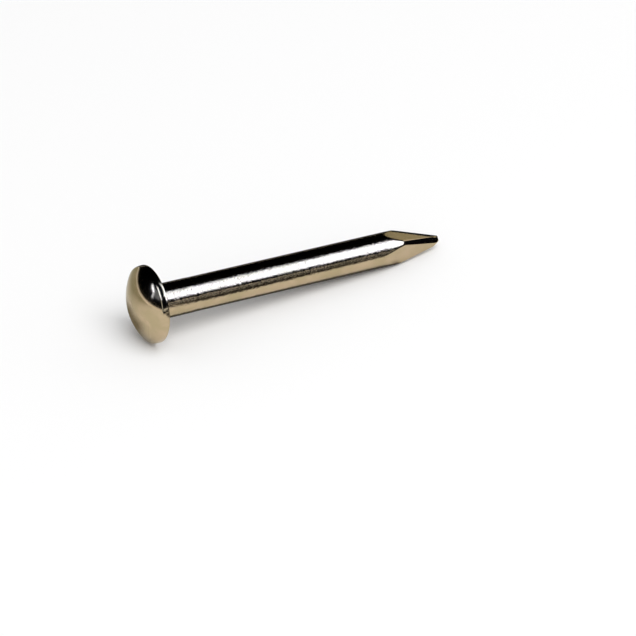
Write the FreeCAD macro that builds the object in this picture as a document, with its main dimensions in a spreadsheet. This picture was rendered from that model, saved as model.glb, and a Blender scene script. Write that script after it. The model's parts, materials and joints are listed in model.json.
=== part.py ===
import FreeCAD, Part
import math
import os
import Sketcher

# A linoleum nail: one piece of plated steel wire, with a low domed head and a diamond point.
# It is drawn along X, with the bearing face of its head at X = 0 and its tip at +X, and then
# laid as it comes to rest on a level floor: on the rim of the head and the end of the shank.

# Driving dimensions, in millimetres and degrees
SIZES = (
    ("nail_length", 19.05, "bearing face to tip, three quarters of an inch"),
    ("wire_diameter", 2.03, "shank, 14 gauge wire"),
    ("head_diameter", 4.58, "across the rim"),
    ("rim_height", 0.37, "straight wall of the head, to where the crown would meet it"),
    ("crown_height", 0.86, "dome above the rim"),
    ("corner_radius", 0.14, "crown to rim"),
    ("edge_radius", 0.05, "rim to bearing face"),
    ("neck_radius", 0.2, "bearing face to shank"),
    ("neck_diameter", 2.07, "under the head, where heading swelled the wire"),
    ("grip_diameter", 2.05, "where the hold of the heading dies ends"),
    ("grip_length", 2.44, "bearing face to the end of that hold"),
    ("grip_taper", 0.07, "length of the step from grip to shank"),
    ("upper_facet_length", 3.73, "tip to the far end of the upper and rear facets"),
    ("lower_facet_length", 4.26, "tip to the far end of the lower and front facets"),
    ("facet_turn", 82.6, "turn about the axis from one pair of facets to the other"),
    ("land_length", 2.82, "tip to the far end of the lands left by the parting line"),
    ("tip_rise", 0.09, "axis to the upper ridge at the tip, which is out of centre"),
    ("tip_drop", 0.41, "axis to the lower ridge at the tip, before its nose is blunted"),
    ("nose_drop", 0.24, "axis to the blunted nose at the tip"),
    ("nose_length", 1.28, "tip to where the slope of the nose would leave the shank"),
    ("tip_thickness", 0.1, "land to land at the tip"),
    ("cutter_overrun", 0.5, "how far the facet cuts run past the tip"),
)

# What a constraint points to: the sketch's own origin and axes, and the places on an edge
ORIGIN = (-1, 1)
UPRIGHT_AXIS, LEVEL_AXIS = range(-2, 0)
START, END, CENTRE = range(1, 4)


def make_sheet(doc):
    """The spreadsheet of driving dimensions, one row each: name, value, meaning."""
    sheet = doc.addObject("Spreadsheet::Sheet", "Sizes")
    for row, (alias, value, meaning) in enumerate(SIZES, start=1):
        sheet.set(f"A{row}", alias)
        sheet.set(f"B{row}", str(value))
        sheet.setAlias(f"B{row}", alias)
        sheet.set(f"C{row}", meaning)
    doc.recompute()
    return sheet


def origin_feature(body, role):
    """One of the body's own origin planes or axes."""
    return next(feature for feature in body.Origin.OriginFeatures if feature.Role == role)


def new_sketch(body, name, turn=None):
    """A sketch on the body's XZ plane, or on that plane turned about X by an expression."""
    sketch = body.newObject("Sketcher::SketchObject", name)
    sketch.AttachmentSupport = (origin_feature(body, "XZ_Plane"), [""])
    sketch.MapMode = "FlatFace"
    if turn:
        about_x = FreeCAD.Rotation(FreeCAD.Vector(1, 0, 0), 1)
        sketch.AttachmentOffset = FreeCAD.Placement(FreeCAD.Vector(), about_x)
        sketch.setExpression("AttachmentOffset.Rotation.Angle", turn)
    return sketch


def bind(sketch, expression, *constraint):
    """Add a dimension whose value follows the sheet."""
    value = float(sketch.evalExpression(expression))
    index = sketch.addConstraint(Sketcher.Constraint(*constraint, value))
    sketch.setExpression(f"Constraints[{index}]", expression)


def line(sketch, start, end):
    first, last = FreeCAD.Vector(*start), FreeCAD.Vector(*end)
    return sketch.addGeometry(Part.LineSegment(first, last), False)


def arc(sketch, centre, radius, start_angle, end_angle):
    circle = Part.Circle(FreeCAD.Vector(*centre), FreeCAD.Vector(0, 0, 1), radius)
    angles = math.radians(start_angle), math.radians(end_angle)
    return sketch.addGeometry(Part.ArcOfCircle(circle, *angles), False)


def join(sketch, kind, *ends):
    sketch.addConstraint(Sketcher.Constraint(kind, *ends))


def draw_form(body, size):
    """Half the long section: crown, corner, rim, edge, bearing face, neck, grip, shank and end."""
    sketch = new_sketch(body, "LongSection")
    head, neck, grip, wire = (
        size[f"{name}_diameter"] / 2 for name in ("head", "neck", "grip", "wire")
    )
    corner, edge, fillet_radius = (size[f"{name}_radius"] for name in ("corner", "edge", "neck"))
    crown = size["crown_height"]
    top = -size["rim_height"] - crown
    crown_radius = (head**2 + crown**2) / (2 * crown)
    crown_centre = top + crown_radius
    corner_centre = crown_centre - math.sqrt((crown_radius - corner) ** 2 - (head - corner) ** 2)
    corner_angle = math.degrees(math.atan2(head - corner, corner_centre - crown_centre))
    step = size["grip_length"] + size["grip_taper"]
    length = size["nail_length"]

    # Drawn near its final shape, so that the constraints have one answer to settle on
    dome = arc(sketch, (crown_centre, 0), crown_radius, corner_angle, 180)
    shoulder = arc(sketch, (corner_centre, head - corner), corner, 90, corner_angle)
    rim = line(sketch, (-edge, head), (corner_centre, head))
    rear = arc(sketch, (-edge, head - edge), edge, 0, 90)
    bearing = line(sketch, (0, neck + fillet_radius), (0, head - edge))
    fillet = arc(sketch, (fillet_radius, neck + fillet_radius), fillet_radius, 180, 270)
    held = line(sketch, (size["grip_length"], grip), (fillet_radius, neck))
    taper = line(sketch, (step, wire), (size["grip_length"], grip))
    shank = line(sketch, (length, wire), (step, wire))
    end = line(sketch, (length, 0), (length, wire))
    middle = line(sketch, (top, 0), (length, 0))

    join(sketch, "Tangent", dome, START, shoulder, END)
    join(sketch, "Tangent", shoulder, START, rim, END)
    join(sketch, "Tangent", rim, START, rear, END)
    join(sketch, "Tangent", rear, START, bearing, END)
    join(sketch, "Tangent", bearing, START, fillet, START)
    join(sketch, "Tangent", fillet, END, held, END)
    join(sketch, "Coincident", held, START, taper, END)
    join(sketch, "Coincident", taper, START, shank, END)
    join(sketch, "Coincident", shank, START, end, END)
    join(sketch, "Coincident", end, START, middle, END)
    join(sketch, "Coincident", middle, START, dome, END)
    join(sketch, "PointOnObject", dome, CENTRE, LEVEL_AXIS)
    join(sketch, "PointOnObject", middle, START, LEVEL_AXIS)
    join(sketch, "Horizontal", middle)
    join(sketch, "Horizontal", rim)
    join(sketch, "Horizontal", shank)
    join(sketch, "Vertical", end)
    join(sketch, "Vertical", bearing)
    join(sketch, "PointOnObject", bearing, START, UPRIGHT_AXIS)

    bind(sketch, "Sizes.rim_height + Sizes.crown_height", "DistanceX", dome, END, *ORIGIN)
    crown_rule = "(Sizes.head_diameter^2 / 4 + Sizes.crown_height^2) / (2 * Sizes.crown_height)"
    bind(sketch, crown_rule, "Radius", dome)
    bind(sketch, "Sizes.corner_radius", "Radius", shoulder)
    bind(sketch, "Sizes.edge_radius", "Radius", rear)
    bind(sketch, "Sizes.neck_radius", "Radius", fillet)
    bind(sketch, "Sizes.head_diameter / 2", "DistanceY", *ORIGIN, rim, START)
    bind(sketch, "Sizes.neck_diameter / 2", "DistanceY", *ORIGIN, held, END)
    bind(sketch, "Sizes.grip_diameter / 2", "DistanceY", *ORIGIN, held, START)
    bind(sketch, "Sizes.wire_diameter / 2", "DistanceY", *ORIGIN, shank, START)
    bind(sketch, "Sizes.grip_length", "DistanceX", *ORIGIN, held, START)
    bind(sketch, "Sizes.grip_taper", "DistanceX", taper, END, taper, START)
    bind(sketch, "Sizes.nail_length", "DistanceX", *ORIGIN, end, START)
    return sketch


def add_cut(sketch, size, side, reach, tip, reach_rule, tip_rule):
    """A triangle outside one face of the point, above the axis for side 1 and below it for -1.

    Its long edge runs through the face's far end on the shank, reach back from the tip, and
    through the tip's own edge, tip away from the axis.
    """
    length, wire = size["nail_length"], size["wire_diameter"]
    beyond = length + size["cutter_overrun"]
    slope = (wire / 2 - tip) / reach
    far = (length - (wire - tip) / slope, side * wire)
    near = (beyond, side * (tip - size["cutter_overrun"] * slope))
    corner = (beyond, side * wire)
    face = line(sketch, far, near)
    end = line(sketch, near, corner)
    outer = line(sketch, corner, far)
    join(sketch, "Coincident", face, END, end, START)
    join(sketch, "Coincident", end, END, outer, START)
    join(sketch, "Coincident", outer, END, face, START)
    join(sketch, "Vertical", end)
    join(sketch, "Horizontal", outer)
    bind(sketch, "Sizes.nail_length + Sizes.cutter_overrun", "DistanceX", *ORIGIN, end, END)

    shank_point = sketch.addGeometry(
        Part.Point(FreeCAD.Vector(length - reach, side * wire / 2)), True
    )
    tip_point = sketch.addGeometry(Part.Point(FreeCAD.Vector(length, side * tip)), True)
    join(sketch, "PointOnObject", shank_point, START, face)
    join(sketch, "PointOnObject", tip_point, START, face)
    bind(sketch, f"Sizes.nail_length - {reach_rule}", "DistanceX", *ORIGIN, shank_point, START)
    bind(sketch, "Sizes.nail_length", "DistanceX", *ORIGIN, tip_point, START)
    heights = (
        (outer, END, "Sizes.wire_diameter"),
        (shank_point, START, "Sizes.wire_diameter / 2"),
        (tip_point, START, tip_rule),
    )
    for edge, place, rule in heights:
        ends = (*ORIGIN, edge, place) if side > 0 else (edge, place, *ORIGIN)
        bind(sketch, rule, "DistanceY", *ends)


def draw_facets(body, size):
    """Side view of the cuts for one pair of facets, with the tip out of centre between them."""
    sketch = new_sketch(body, "FacetSection")
    lean = math.cos(math.radians(size["facet_turn"] / 2))
    cuts = ((1, "upper_facet_length", "tip_rise"), (-1, "lower_facet_length", "tip_drop"))
    for side, reach, tip in cuts:
        rule = f"Sizes.{tip} * cos(Sizes.facet_turn * 1deg / 2)"
        add_cut(sketch, size, side, size[reach], size[tip] * lean, f"Sizes.{reach}", rule)
    return sketch


def draw_lands(body, size):
    """Side view of the cuts for the two lands, on the ridges between the pairs of facets."""
    sketch = new_sketch(body, "LandSection", "90deg - Sizes.facet_turn * 1deg / 2")
    for side in (1, -1):
        rules = "Sizes.land_length", "Sizes.tip_thickness / 2"
        add_cut(sketch, size, side, size["land_length"], size["tip_thickness"] / 2, *rules)
    return sketch


def draw_nose(body, size):
    """Side view of the cut that blunts the lower ridge beside the tip."""
    sketch = new_sketch(body, "NoseSection", "-Sizes.facet_turn * 1deg / 2")
    rules = "Sizes.nose_length", "Sizes.nose_drop"
    add_cut(sketch, size, -1, size["nose_length"], size["nose_drop"], *rules)
    return sketch


def cut_across(body, name, sketch):
    """A pocket through the whole point, to both sides of its sketch."""
    pocket = body.newObject("PartDesign::Pocket", name)
    pocket.Profile = sketch
    pocket.SideType = "Symmetric"
    pocket.Type = "Length"
    pocket.setExpression("Length", "2 * Sizes.wire_diameter")
    return pocket


def make_nail(doc, size):
    body = doc.addObject("PartDesign::Body", "Nail")
    body.Label = "nail"

    section = draw_form(body, size)
    form = body.newObject("PartDesign::Revolution", "HeadAndShank")
    form.Profile = section
    form.ReferenceAxis = (section, ["H_Axis"])
    form.Angle = 360
    doc.recompute()

    upper_and_lower = cut_across(body, "UpperAndLowerFacets", draw_facets(body, size))
    doc.recompute()
    all_facets = body.newObject("PartDesign::PolarPattern", "AllFacets")
    all_facets.Originals = [upper_and_lower]
    all_facets.Axis = (origin_feature(body, "X_Axis"), [""])
    all_facets.Reversed = True
    all_facets.Mode = "Extent"
    all_facets.Occurrences = 2
    all_facets.setExpression("Angle", "Sizes.facet_turn * 1deg")
    body.Tip = all_facets
    doc.recompute()

    lands = cut_across(body, "Lands", draw_lands(body, size))
    doc.recompute()
    nose = cut_across(body, "Nose", draw_nose(body, size))
    body.Tip = nose
    doc.recompute()

    steps = (form, upper_and_lower, all_facets, lands, nose)
    for before, after in zip(steps, steps[1:]):
        if not after.Shape.Volume < before.Shape.Volume:
            raise RuntimeError(f"{after.Label} takes nothing off the nail")
    return body


def rest_angle(size):
    """How far the tip dips when the rim of the head and the end of the shank both touch the floor."""
    edge = size["edge_radius"]
    run = size["nail_length"] - size["lower_facet_length"] + edge
    drop = (size["head_diameter"] - size["wire_diameter"]) / 2 - edge
    return math.degrees(math.atan2(drop, run) + math.asin(edge / math.hypot(run, drop)))


def lay_down(body, size):
    """Tilt the nail to its rest, and put the middle of its underside at the origin."""
    body.Placement = FreeCAD.Placement(
        FreeCAD.Vector(), FreeCAD.Rotation(FreeCAD.Vector(0, 1, 0), rest_angle(size))
    )
    box = body.Shape.optimalBoundingBox(False, False)
    middle = FreeCAD.Vector(box.Center.x, box.Center.y, box.ZMin)
    body.Placement.Base = -middle


def check(doc, body):
    for thing in doc.Objects:
        if "Invalid" in thing.State or "Error" in thing.State:
            raise RuntimeError(f"{thing.Label}: {thing.State}")
        if thing.TypeId == "Sketcher::SketchObject" and not thing.FullyConstrained:
            raise RuntimeError(f"{thing.Label} isn't fully constrained")
    if body.Shape.isNull() or not body.Shape.isValid() or len(body.Shape.Solids) != 1:
        raise RuntimeError(f"{body.Label} isn't one valid solid")


def main():
    doc = FreeCAD.newDocument("LinoleumNail")
    sheet = make_sheet(doc)
    size = {alias: float(sheet.get(alias)) for alias, _, _ in SIZES}
    nail = make_nail(doc, size)
    lay_down(nail, size)
    doc.recompute()
    check(doc, nail)

    os.makedirs("parts", exist_ok=True)
    nail.Shape.exportStep(f"parts/{nail.Label}.step")
    box = nail.Shape.optimalBoundingBox(False, False)
    print(f"{nail.Label}: {box.XLength:.3f} x {box.YLength:.3f} x {box.ZLength:.3f} mm,"
          f" {nail.Shape.Volume:.3f} mm3, tip dips {rest_angle(size):.3f} degrees")


main()
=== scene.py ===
import json
import math

import bmesh
import bpy
from mathutils import Matrix, Vector


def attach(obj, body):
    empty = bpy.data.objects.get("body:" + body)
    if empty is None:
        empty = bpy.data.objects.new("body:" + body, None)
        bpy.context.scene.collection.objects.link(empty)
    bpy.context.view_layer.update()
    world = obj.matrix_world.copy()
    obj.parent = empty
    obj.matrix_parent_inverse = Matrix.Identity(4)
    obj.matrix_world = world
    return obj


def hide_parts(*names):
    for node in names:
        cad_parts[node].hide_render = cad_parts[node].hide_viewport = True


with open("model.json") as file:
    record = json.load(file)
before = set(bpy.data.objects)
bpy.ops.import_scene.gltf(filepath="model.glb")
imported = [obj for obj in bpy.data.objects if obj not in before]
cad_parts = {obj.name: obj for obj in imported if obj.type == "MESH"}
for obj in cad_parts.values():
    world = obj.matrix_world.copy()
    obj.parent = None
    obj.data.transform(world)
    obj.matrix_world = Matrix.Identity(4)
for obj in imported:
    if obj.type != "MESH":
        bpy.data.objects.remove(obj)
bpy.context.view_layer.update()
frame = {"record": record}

# A linoleum nail of bright plated wire, lying on a pale floor. Its form is drawn in millimetres
# in the nail's own frame, along X from the bearing face to the tip, and then placed as the frame
# says. An angle about the axis is measured from the nail's upper side towards the camera's side.

MM = 0.001

# The nail, in millimetres and degrees, as the solid has it. Wire, head, neck and grip are radii.
MOUNTS = {mount["name"]: mount for mount in frame["record"]["mounts"]}
WIRE = MOUNTS["shank"]["dims"]["r_mm"]
LENGTH = 19.05
HEAD = 4.58 / 2
RIM_HEIGHT = 0.37
CROWN_HEIGHT = 0.86
CORNER_RADIUS = 0.14
EDGE_RADIUS = 0.05
NECK_RADIUS = 0.2
NECK = 2.07 / 2
GRIP = 2.05 / 2
GRIP_LENGTH = 2.44
GRIP_TAPER = 0.07
UPPER_FACET_LENGTH = 3.73
LOWER_FACET_LENGTH = 4.26
FACET_TURN = 82.6
LAND_LENGTH = 2.82
TIP_RISE = 0.09
TIP_DROP = 0.41
TIP_THICKNESS = 0.1
NOSE_LENGTH = 1.28
NOSE_DROP = 0.24

# A small sign of how it was made, which a solid of this size does without: the rim's bulge
RIM_BULGE_RADIUS = 1.1
RIM_BULGE_START = 104

# The finish: heights and lengths in millimetres, and colours as the plate reflects them. Each
# texture is its stretch along the nail, its scale and its detail.
CROWN_OVERLAP = 0.1
CROWN_EDGE = RIM_HEIGHT - CROWN_OVERLAP
CROWN_BLEND = 0.15
WAVES = (1.6, 1.7, 2)
WAVE_HEIGHT = 0.014
MARKS = (9, 14, 3)
MARK_HEIGHT = 0.002
DIMPLES = (0.6, 7, 3)
DIMPLE_HEIGHT = 0.0125
GRAIN = (1, 22, 2)
GRAIN_HEIGHT = 0.0006
PRESSED_SHARE = 0.35
NECK_BLEND = 0.3
POINT_BLEND = (0.4, 1.7)
ROLL_START = 16
ROLL_BLEND = 0.2
ROLL_SIDE_BLEND = 0.05
ROLL_WIDTH = 0.26
ROLL_DEPTH = 0.085
CLOUDS = (2, 1.3, 3)
CLOUD_SPAN = (0.3, 0.7)
PLATE_PALE = (0.532, 0.41, 0.264)
PLATE_DEEP = (0.45, 0.362, 0.214)
WEAR = (4, 5, 3)
ROUGHNESS = 0.08
ROUGHNESS_SPREAD = 0.06

# The mesh. The point's rings start a margin before its longest facets do.
SIDES = 240
CROWN_STEPS = 56
ARC_STEPS = 8
EDGE_STEPS = 6
GRIP_STEPS = 16
TAPER_STEPS = 2
SHANK_STEPS = 48
POINT_MARGIN = 0.25
POINT_START = LENGTH - LOWER_FACET_LENGTH - POINT_MARGIN
POINT_STEP = 0.03
END_RINGS = (0.97, 0.9, 0.75, 0.5, 0.25)
LEAST_FACING = 0.01
ROUNDING_PASSES = 20
ROUNDING_SHARE = 0.5


def arc_points(centre, radius, first, last, steps):
    """Points of a round stretch of the long section, without its first one."""
    for step in range(1, steps + 1):
        angle = math.radians(first + (last - first) * step / steps)
        yield centre[0] + radius * math.cos(angle), centre[1] + radius * math.sin(angle)


def straight_points(start, end, steps):
    """Points of a straight stretch, without its first one."""
    for step in range(1, steps + 1):
        share = step / steps
        yield start[0] + (end[0] - start[0]) * share, start[1] + (end[1] - start[1]) * share


def long_section():
    """Half the long section, from the middle of the crown to where the point starts. The rim
    bulges by a hundredth of a millimetre, as the metal does between the heading dies."""
    crown_radius = (HEAD**2 + CROWN_HEIGHT**2) / (2 * CROWN_HEIGHT)
    crown_centre = crown_radius - RIM_HEIGHT - CROWN_HEIGHT
    lean = math.radians(RIM_BULGE_START)
    offset = RIM_BULGE_RADIUS - CORNER_RADIUS
    rise = HEAD - RIM_BULGE_RADIUS + offset * math.sin(lean)
    corner_centre = crown_centre - math.sqrt((crown_radius - CORNER_RADIUS)**2 - rise**2)
    corner_angle = math.degrees(math.atan2(rise, corner_centre - crown_centre))
    bulge = (corner_centre - offset * math.cos(lean), HEAD - RIM_BULGE_RADIUS)
    reach = RIM_BULGE_RADIUS - EDGE_RADIUS
    bulge_end = math.acos((-EDGE_RADIUS - bulge[0]) / reach)
    edge = (-EDGE_RADIUS, bulge[1] + reach * math.sin(bulge_end))
    bulge_end = math.degrees(bulge_end)
    fillet = (NECK_RADIUS, NECK + NECK_RADIUS)
    points = [(crown_centre - crown_radius, 0.0)]
    points += arc_points((crown_centre, 0), crown_radius, 180, corner_angle, CROWN_STEPS)
    points += arc_points((corner_centre, rise), CORNER_RADIUS, corner_angle, RIM_BULGE_START,
                         ARC_STEPS)
    points += arc_points(bulge, RIM_BULGE_RADIUS, RIM_BULGE_START, bulge_end, ARC_STEPS)
    points += arc_points(edge, EDGE_RADIUS, bulge_end, 0, EDGE_STEPS)
    points += straight_points(points[-1], (0, fillet[1]), EDGE_STEPS)
    points += arc_points(fillet, NECK_RADIUS, 180, 270, ARC_STEPS)
    points += straight_points(points[-1], (GRIP_LENGTH, GRIP), GRIP_STEPS)
    points += straight_points(points[-1], (GRIP_LENGTH + GRIP_TAPER, WIRE), TAPER_STEPS)
    points += straight_points(points[-1], (POINT_START, WIRE), SHANK_STEPS)
    return points


def point_planes():
    """The planes that cut the point, each as its distance from the axis at the tip, the length
    over which it comes in from the wire's wall, and its angle about the axis."""
    lean = math.cos(math.radians(FACET_TURN / 2))
    for angle in (0, -FACET_TURN):
        yield TIP_RISE * lean, UPPER_FACET_LENGTH, angle
        yield TIP_DROP * lean, LOWER_FACET_LENGTH, angle + 180
    for angle in (90, 270):
        yield TIP_THICKNESS / 2, LAND_LENGTH, angle - FACET_TURN / 2
    yield NOSE_DROP, NOSE_LENGTH, 180 - FACET_TURN / 2


def side_angles():
    """The angles of the mesh's sides about the axis, two of which follow the ridges."""
    return [360 * side / SIDES - FACET_TURN / 2 for side in range(SIDES)]


def point_radius(along, angle):
    """How far the point reaches from the axis: to the nearest of the wire's wall and its cuts."""
    reaches = [WIRE]
    for distance, reach, plane_angle in point_planes():
        facing = math.cos(math.radians(angle - plane_angle))
        if facing > LEAST_FACING:
            reaches.append((distance + (WIRE - distance) * (LENGTH - along) / reach) / facing)
    return min(reaches)


def around(angle):
    """The direction out from the axis at an angle about it."""
    turn = math.radians(angle)
    return Vector((0, -math.sin(turn), math.cos(turn)))


def ring_places():
    """Every ring of the mesh as a list of places, from the crown to the end of the tip."""
    angles = side_angles()
    for along, radius in long_section()[1:]:
        yield [Vector((along, 0, 0)) + around(angle) * radius for angle in angles]
    steps = round((LENGTH - POINT_START) / POINT_STEP)
    for step in range(1, steps + 1):
        along = POINT_START + (LENGTH - POINT_START) * step / steps
        yield [Vector((along, 0, 0)) + around(angle) * point_radius(along, angle)
               for angle in angles]
    for share in END_RINGS:
        yield [Vector((LENGTH, 0, 0)) + around(angle) * point_radius(LENGTH, angle) * share
               for angle in angles]


def nail_form():
    """The nail's rings joined by faces and closed at both ends, in its own frame."""
    form = bmesh.new()
    rings = [[form.verts.new(place) for place in ring] for ring in ring_places()]
    for ring, after in zip(rings, rings[1:]):
        for side in range(SIDES):
            form.faces.new((ring[side - 1], ring[side], after[side], after[side - 1]))
    ends = ((-RIM_HEIGHT - CROWN_HEIGHT, rings[0]), (LENGTH, rings[-1]))
    for along, ring in ends:
        middle = form.verts.new((along, 0, 0))
        for side in range(SIDES):
            form.faces.new((middle, ring[side - 1], ring[side]))
    return form


def round_point(form):
    """Take the keenness off the edges of the point, as plating and the tumbling drum do."""
    point = [vert for vert in form.verts if vert.co.x > POINT_START]
    for _ in range(ROUNDING_PASSES):
        bmesh.ops.smooth_vert(form, verts=point, factor=ROUNDING_SHARE,
                              use_axis_x=True, use_axis_y=True, use_axis_z=True)


def nail_to_floor():
    """From the nail's own frame in millimetres to the frame of the part in metres."""
    middle, seat = (Vector(MOUNTS[name]["pos_m"]) for name in ("shank", "head_seat"))
    along = Vector(MOUNTS["shank"]["axis"]).normalized()
    start = middle - along * along.dot(middle - seat)
    side = Vector((0, 1, 0))
    up = along.cross(side)
    turn = Matrix((along, side, up)).transposed().to_4x4()
    return Matrix.Translation(start) @ turn @ Matrix.Scale(MM, 4)


def make_nail(material):
    form = nail_form()
    round_point(form)
    bmesh.ops.transform(form, matrix=nail_to_floor(), verts=form.verts)
    bmesh.ops.recalc_face_normals(form, faces=form.faces)
    mesh = bpy.data.meshes.new("plated_nail")
    form.to_mesh(mesh)
    form.free()
    mesh.shade_smooth()
    mesh.materials.append(material)
    nail = bpy.data.objects.new("plated_nail", mesh)
    bpy.context.scene.collection.objects.link(nail)
    return nail


# Materials are built from nodes. A value for an input is a number or another node's output.

def add_node(tree, kind, inputs=(), **settings):
    node = tree.nodes.new(kind)
    for name, value in settings.items():
        setattr(node, name, value)
    for socket, value in dict(inputs).items():
        if isinstance(value, bpy.types.NodeSocket):
            tree.links.new(value, node.inputs[socket])
        else:
            node.inputs[socket].default_value = value
    return node


def math_node(tree, operation, *values):
    return add_node(tree, "ShaderNodeMath", enumerate(values), operation=operation).outputs[0]


def noise(tree, place, stretch, scale, detail):
    """Noise over a place in millimetres, stretched along the nail, between 0 and 1."""
    drawn = add_node(tree, "ShaderNodeMapping", {"Vector": place, "Scale": (1 / stretch, 1, 1)})
    cloud = add_node(tree, "ShaderNodeTexNoise",
                     {"Vector": drawn.outputs[0], "Scale": scale, "Detail": detail})
    return cloud.outputs[0]


def ramp(tree, value, start, end, low=0, high=1):
    """A smooth change from one level to another while a value goes from start to end."""
    inputs = {"Value": value, "From Min": start, "From Max": end, "To Min": low, "To Max": high}
    change = add_node(tree, "ShaderNodeMapRange", inputs, interpolation_type="SMOOTHSTEP")
    return change.outputs[0]


def rolled_ridge(tree, place, along):
    """The height at the upper ridge of the point, which is rolled over and so is below zero."""
    ridge, aside = (add_node(tree, "ShaderNodeVectorMath", {0: place, 1: around(angle)},
                             operation="DOT_PRODUCT").outputs["Value"]
                    for angle in (-FACET_TURN / 2, 90 - FACET_TURN / 2))
    gap = math_node(tree, "DIVIDE", math_node(tree, "ABSOLUTE", aside), ROLL_WIDTH)
    near = math_node(tree, "MAXIMUM", math_node(tree, "SUBTRACT", 1, gap), 0)
    here = math_node(tree, "MULTIPLY", ramp(tree, along, ROLL_START, ROLL_START + ROLL_BLEND),
                     ramp(tree, ridge, 0, ROLL_SIDE_BLEND))
    depth = math_node(tree, "MULTIPLY", math_node(tree, "POWER", near, 2), -ROLL_DEPTH)
    return math_node(tree, "MULTIPLY", depth, here)


def plate_material():
    """Bright plate: shallow waves, drawing marks and dimples on the wire, a smooth crown."""
    material = bpy.data.materials.new("nickel_plate")
    material.use_nodes = True
    tree = material.node_tree
    shader = tree.nodes["Principled BSDF"]
    location, rotation, scale = nail_to_floor().inverted().decompose()
    here = add_node(tree, "ShaderNodeTexCoord").outputs["Object"]
    place = add_node(tree, "ShaderNodeMapping",
                     {"Vector": here, "Location": location, "Rotation": rotation.to_euler(),
                      "Scale": scale}).outputs[0]
    along = add_node(tree, "ShaderNodeSeparateXYZ", {"Vector": place}).outputs["X"]
    crown = ramp(tree, along, -CROWN_EDGE, -CROWN_EDGE - CROWN_BLEND)

    waves = math_node(tree, "MULTIPLY", noise(tree, place, *WAVES), WAVE_HEIGHT)
    marks = math_node(tree, "MULTIPLY", noise(tree, place, *MARKS), MARK_HEIGHT)
    dimples = math_node(tree, "MULTIPLY", noise(tree, place, *DIMPLES), DIMPLE_HEIGHT)
    grain = math_node(tree, "MULTIPLY", noise(tree, place, *GRAIN), GRAIN_HEIGHT)
    wire_height = math_node(tree, "ADD", math_node(tree, "ADD", waves, marks), dimples)
    first, last = (POINT_START + length for length in POINT_BLEND)
    drawn = math_node(tree, "MULTIPLY", ramp(tree, along, 0, NECK_BLEND, PRESSED_SHARE, 1),
                      ramp(tree, along, first, last, 1, PRESSED_SHARE))
    share = math_node(tree, "MULTIPLY", drawn, math_node(tree, "SUBTRACT", 1, crown))
    height = math_node(tree, "ADD", math_node(tree, "MULTIPLY", wire_height, share), grain)
    height = math_node(tree, "ADD", height, rolled_ridge(tree, place, along))
    bump = add_node(tree, "ShaderNodeBump", {"Height": height, "Strength": 1, "Distance": MM})
    tree.links.new(bump.outputs[0], shader.inputs["Normal"])

    clouds = ramp(tree, noise(tree, place, *CLOUDS), *CLOUD_SPAN)
    colour = add_node(tree, "ShaderNodeMix", {"Factor": clouds}, data_type="RGBA")
    colour.inputs["A"].default_value = (*PLATE_DEEP, 1)
    colour.inputs["B"].default_value = (*PLATE_PALE, 1)
    tree.links.new(colour.outputs["Result"], shader.inputs["Base Color"])

    wear = math_node(tree, "MULTIPLY", noise(tree, place, *WEAR), ROUGHNESS_SPREAD)
    rough = math_node(tree, "ADD", wear, ROUGHNESS)
    tree.links.new(rough, shader.inputs["Roughness"])
    shader.inputs["Metallic"].default_value = 1
    return material


# The studio, in metres and degrees. A direction is a bearing, clockwise from +Y seen from above,
# and an elevation.

COOL = (0.82, 1, 1.6)
CARD_DISTANCE = 0.4
CARD_STEPS = 12
LAMP_DIRECTION = (165, 62)
LAMP_DISTANCE = 0.5
LAMP_SIZE = 0.5
LAMP_POWER = 1.6
WORLD_FILL = 0.62
FLOOR_HALF = 1.5
FLOOR_COLOUR = (0.93, 0.93, 0.93, 1)
FLOOR_ROUGHNESS = 0.9


def towards(bearing, elevation):
    """The unit vector of a direction."""
    turn, rise = math.radians(bearing), math.radians(elevation)
    return Vector((math.sin(turn) * math.cos(rise), math.cos(turn) * math.cos(rise), math.sin(rise)))


def glow(name, strength, colour=(1, 1, 1), soft=(0.1, 0.1, 0.1, 0.1)):
    """A glow that fades out towards a card's sides: its first and last bearing, foot and top.
    Each fade is a share of the card's width or height."""
    material = bpy.data.materials.new(name)
    material.use_nodes = True
    tree = material.node_tree
    tree.nodes.clear()
    spread = add_node(tree, "ShaderNodeUVMap").outputs[0]
    across = add_node(tree, "ShaderNodeSeparateXYZ", {"Vector": spread})
    level = 1
    for place, (first, last) in ((across.outputs["X"], soft[:2]), (across.outputs["Y"], soft[2:])):
        for fade in (ramp(tree, place, 0, first), ramp(tree, place, 1, 1 - last)):
            level = math_node(tree, "MULTIPLY", level, fade)
    light = add_node(tree, "ShaderNodeEmission", {"Strength": strength, "Color": (*colour, 1)})
    clear = add_node(tree, "ShaderNodeBsdfTransparent")
    mixed = add_node(tree, "ShaderNodeMixShader",
                     {0: level, 1: clear.outputs[0], 2: light.outputs[0]})
    add_node(tree, "ShaderNodeOutputMaterial", {"Surface": mixed.outputs[0]})
    return material


def sheet_of_glow(name, corner_at, material):
    """A card whose places come from two shares, across it and up it."""
    wide = CARD_STEPS + 1
    shares = [(column / CARD_STEPS, row / CARD_STEPS)
              for row in range(wide) for column in range(wide)]
    starts = [row * wide + column for row in range(CARD_STEPS) for column in range(CARD_STEPS)]
    faces = [(start, start + 1, start + wide + 1, start + wide) for start in starts]
    mesh = bpy.data.meshes.new(name)
    mesh.from_pydata([corner_at(*share) for share in shares], [], faces)
    spread = mesh.uv_layers.new(name="UVMap")
    for loop in mesh.loops:
        spread.data[loop.index].uv = shares[loop.vertex_index]
    mesh.materials.append(material)
    piece = bpy.data.objects.new(name, mesh)
    bpy.context.scene.collection.objects.link(piece)
    piece.visible_camera = False
    piece.visible_diffuse = False
    piece.visible_shadow = False


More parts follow.
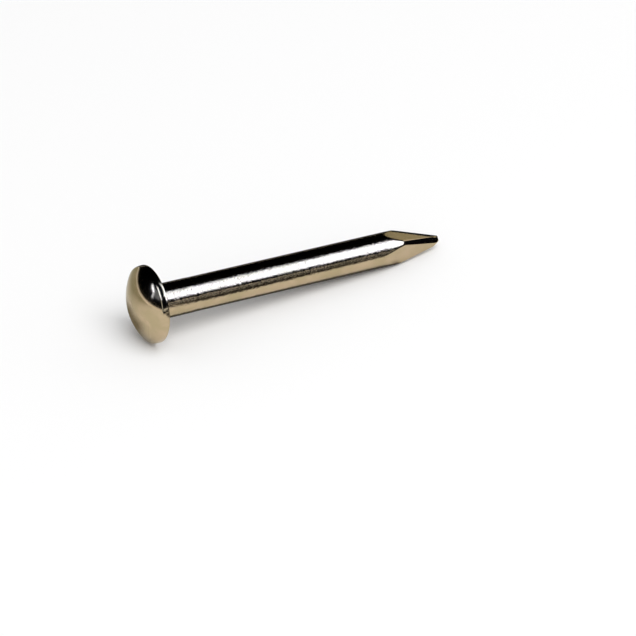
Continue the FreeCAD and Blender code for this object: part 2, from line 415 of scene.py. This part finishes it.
def card(name, bearings, feet, tops, strength, **look):
    """A curved card round the nail, from one bearing to another. Its foot and its top each have
    an elevation at the first bearing and one at the last."""
    def corner_at(across, up):
        bearing = bearings[0] + (bearings[1] - bearings[0]) * across
        foot = feet[0] + (feet[1] - feet[0]) * across
        top = tops[0] + (tops[1] - tops[0]) * across
        return towards(bearing, foot + (top - foot) * up) * CARD_DISTANCE
    sheet_of_glow(name, corner_at, glow(name + "_light", strength, **look))


def bar(name, start, end, width, strength, **look):
    """A narrow strip of light between two directions."""
    def corner_at(across, up):
        bearing = start[0] + (end[0] - start[0]) * across
        elevation = start[1] + (end[1] - start[1]) * across
        lean = math.atan2(end[1] - start[1], end[0] - start[0])
        offset = width * (up - 0.5)
        place = bearing - math.sin(lean) * offset, elevation + math.cos(lean) * offset
        return towards(*place) * CARD_DISTANCE
    sheet_of_glow(name, corner_at, glow(name + "_light", strength, **look))


def painted_floor_card(name, corner, size, level, **look):
    """A card flat on the floor, placed in millimetres, seen only by the metal: painted floor shade
    when dim, a painted pool of light when bright.
    """
    def corner_at(across, up):
        return Vector((corner[0] + size[0] * across, corner[1] + size[1] * up, corner[2])) * MM
    sheet_of_glow(name, corner_at, glow(name + "_tone", level, **look))


def make_lamp():
    data = bpy.data.lights.new("front_lamp", "AREA")
    data.shape = "DISK"
    data.size = LAMP_SIZE
    data.energy = LAMP_POWER
    lamp = bpy.data.objects.new("front_lamp", data)
    lamp.location = towards(*LAMP_DIRECTION) * LAMP_DISTANCE
    lamp.rotation_euler = lamp.location.to_track_quat("Z", "Y").to_euler()
    lamp.visible_glossy = False
    bpy.context.scene.collection.objects.link(lamp)


def make_floor():
    mesh = bpy.data.meshes.new("floor")
    corners = [(-1, -1), (1, -1), (1, 1), (-1, 1)]
    mesh.from_pydata([(FLOOR_HALF * x, FLOOR_HALF * y, 0) for x, y in corners],
                     [], [(0, 1, 2, 3)])
    material = bpy.data.materials.new("floor_paper")
    material.use_nodes = True
    shader = material.node_tree.nodes["Principled BSDF"]
    shader.inputs["Base Color"].default_value = FLOOR_COLOUR
    shader.inputs["Roughness"].default_value = FLOOR_ROUGHNESS
    shader.inputs["Specular IOR Level"].default_value = 0
    mesh.materials.append(material)
    floor = bpy.data.objects.new("floor", mesh)
    bpy.context.scene.collection.objects.link(floor)


def make_world():
    """An even white fill for the floor, which the metal and the camera don't see."""
    world = bpy.data.worlds.new("studio")
    bpy.context.scene.world = world
    world.use_nodes = True
    tree = world.node_tree
    back = tree.nodes["Background"]
    back.inputs["Color"].default_value = (1, 1, 1, 1)
    diffuse = add_node(tree, "ShaderNodeLightPath").outputs["Is Diffuse Ray"]
    tree.links.new(math_node(tree, "MULTIPLY", diffuse, WORLD_FILL), back.inputs["Strength"])


# The camera, at the photograph's viewing angle. Its turn is anticlockwise from -Y seen from above.
# The known point, above the middle of the frame, is seen at the known pixel.

VIEW_TURN = -29.1
VIEW_ELEVATION = 35.065
VIEW_DISTANCE = 0.27
PICTURE = 636
PIXELS_PER_MM = 17.222
KNOWN_POINT = Vector((0, 0, 2 * MM))
KNOWN_PIXEL = (287.49, 265.11)
SENSOR = 36
CLIP_START = 0.01


def make_camera():
    turn, rise = math.radians(VIEW_TURN), math.radians(VIEW_ELEVATION)
    back = Vector((math.sin(turn) * math.cos(rise), -math.cos(turn) * math.cos(rise),
                   math.sin(rise)))
    right = Vector((math.cos(turn), math.sin(turn), 0))
    up = back.cross(right)
    middle = PICTURE / 2
    aim = (KNOWN_POINT + right * (middle - KNOWN_PIXEL[0]) / PIXELS_PER_MM * MM
           - up * (middle - KNOWN_PIXEL[1]) / PIXELS_PER_MM * MM)
    data = bpy.data.cameras.new("camera")
    data.lens = PIXELS_PER_MM / MM * VIEW_DISTANCE * SENSOR / PICTURE
    data.sensor_width = SENSOR
    data.clip_start = CLIP_START
    camera = bpy.data.objects.new("camera", data)
    rotation = Matrix((right, up, back)).transposed().to_4x4()
    camera.matrix_world = Matrix.Translation(aim + back * VIEW_DISTANCE) @ rotation
    bpy.context.scene.collection.objects.link(camera)
    bpy.context.scene.camera = camera


nail = make_nail(plate_material())
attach(nail, "root")
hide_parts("nail")

make_floor()
make_world()

# Softboxes and cards round the nail, and bars of light for the rim of its head
card("key_softbox", (86, 150), (26, 26), (77, 46), 4, colour=COOL, soft=(0.5, 0.06, 0.1, 0.06))
card("side_softbox", (186, 252), (38, 38), (78, 78), 3, colour=COOL)
card("low_side_card", (203, 246), (3, 3), (40, 40), 0.6, colour=(0.9, 1, 1.2))
card("front_card", (148, 203), (8, 8), (13.5, 13.5), 0.95, colour=(0.95, 1, 1.15),
     soft=(0.02, 0.1, 0.15, 0.15))
card("top_facet_card", (37, 58), (0, 0), (24, 24), 0.52, colour=(1, 0.94, 0.68),
     soft=(0.3, 0.5, 0.5, 0.5))
card("facet_edge_card", (52, 84), (14, 5), (30, 30), 1, colour=(1, 0.98, 0.92))
card("rim_panel", (-101, -82), (13, 13), (28, 28), 0.25, colour=COOL)
bar("rim_bar_left", (-68, 26), (-81.5, 19.5), 3.2, 4.5, colour=COOL)
bar("rim_bar_foot", (-81, 20), (-82.5, 10), 3, 2, colour=COOL)
bar("rim_bar_right", (-85, 28), (-98, 18), 3, 1.5, colour=COOL)

# Cards flat on the floor, each a hundredth of a millimetre above the one before, seen only in the
# metal. The dim ones are painted shade: the nail's shadows under it, behind it and at its head, a
# darker floor behind it on the left, and a painted dark reflection in front. The bright one at the
# far left is a painted pool of light on the floor.
# Painted dark reflection: dim sheets on the floor in front of the nail, which the metal shows as a
# dark band.
painted_floor_card("front_painted_dark_reflection", (-7, -24, 0.02), (60, 19.4), 0.03, soft=(0.08, 0.1, 0.4, 0.07))
painted_floor_card("front_far_painted_dark_reflection", (-7, -90, 0.03), (60, 72), 0.06, soft=(0.1, 0.1, 0.1, 0.05))
# Painted shadow: a dim sheet on the floor under the nail, which the metal shows as its contact
# shadow.
painted_floor_card("under_nail_painted_shadow", (-8, -1.2, 0.04), (15.5, 3.2), 0.08, soft=(0.03, 0.03, 0.15, 0.02))
# Painted shadow: a dim sheet on the floor behind the nail, which the metal shows as the nail's
# shadow there.
painted_floor_card("behind_nail_painted_shadow", (-8, 0.9, 0.05), (60, 90), 0.02, soft=(0.06, 0.1, 0.006, 0.2))
# Painted shade: a dim warm sheet on the floor behind the nail on the left, which the metal shows as
# a darker floor there.
painted_floor_card("back_left_painted_shade", (-60, -2, 0.06), (54, 80), 0.42, colour=(1, 1, 0.8),
           soft=(0.3, 0.05, 0.2, 0.2))
# Painted shadow: a dim warm sheet on the floor at the head, which the metal shows as the rim's
# contact shadow.
painted_floor_card("under_head_painted_shadow", (-13, -0.8, 0.07), (6, 6), 0.2, colour=(1, 0.9, 0.6),
           soft=(0.5, 0.2, 0.3, 0.4))
# Painted pool of light: a sheet brighter than the floor, to the left of the nail, which the metal
# shows as a brighter floor there.
painted_floor_card("far_left_painted_floor_light", (-350, -220, 0.08), (305, 300), 1.2, colour=(1, 0.96, 1),
           soft=(0.1, 0.1, 0.2, 0.2))

make_lamp()
make_camera()
bpy.context.scene.view_settings.view_transform = "Standard"

bpy.context.view_layer.update()
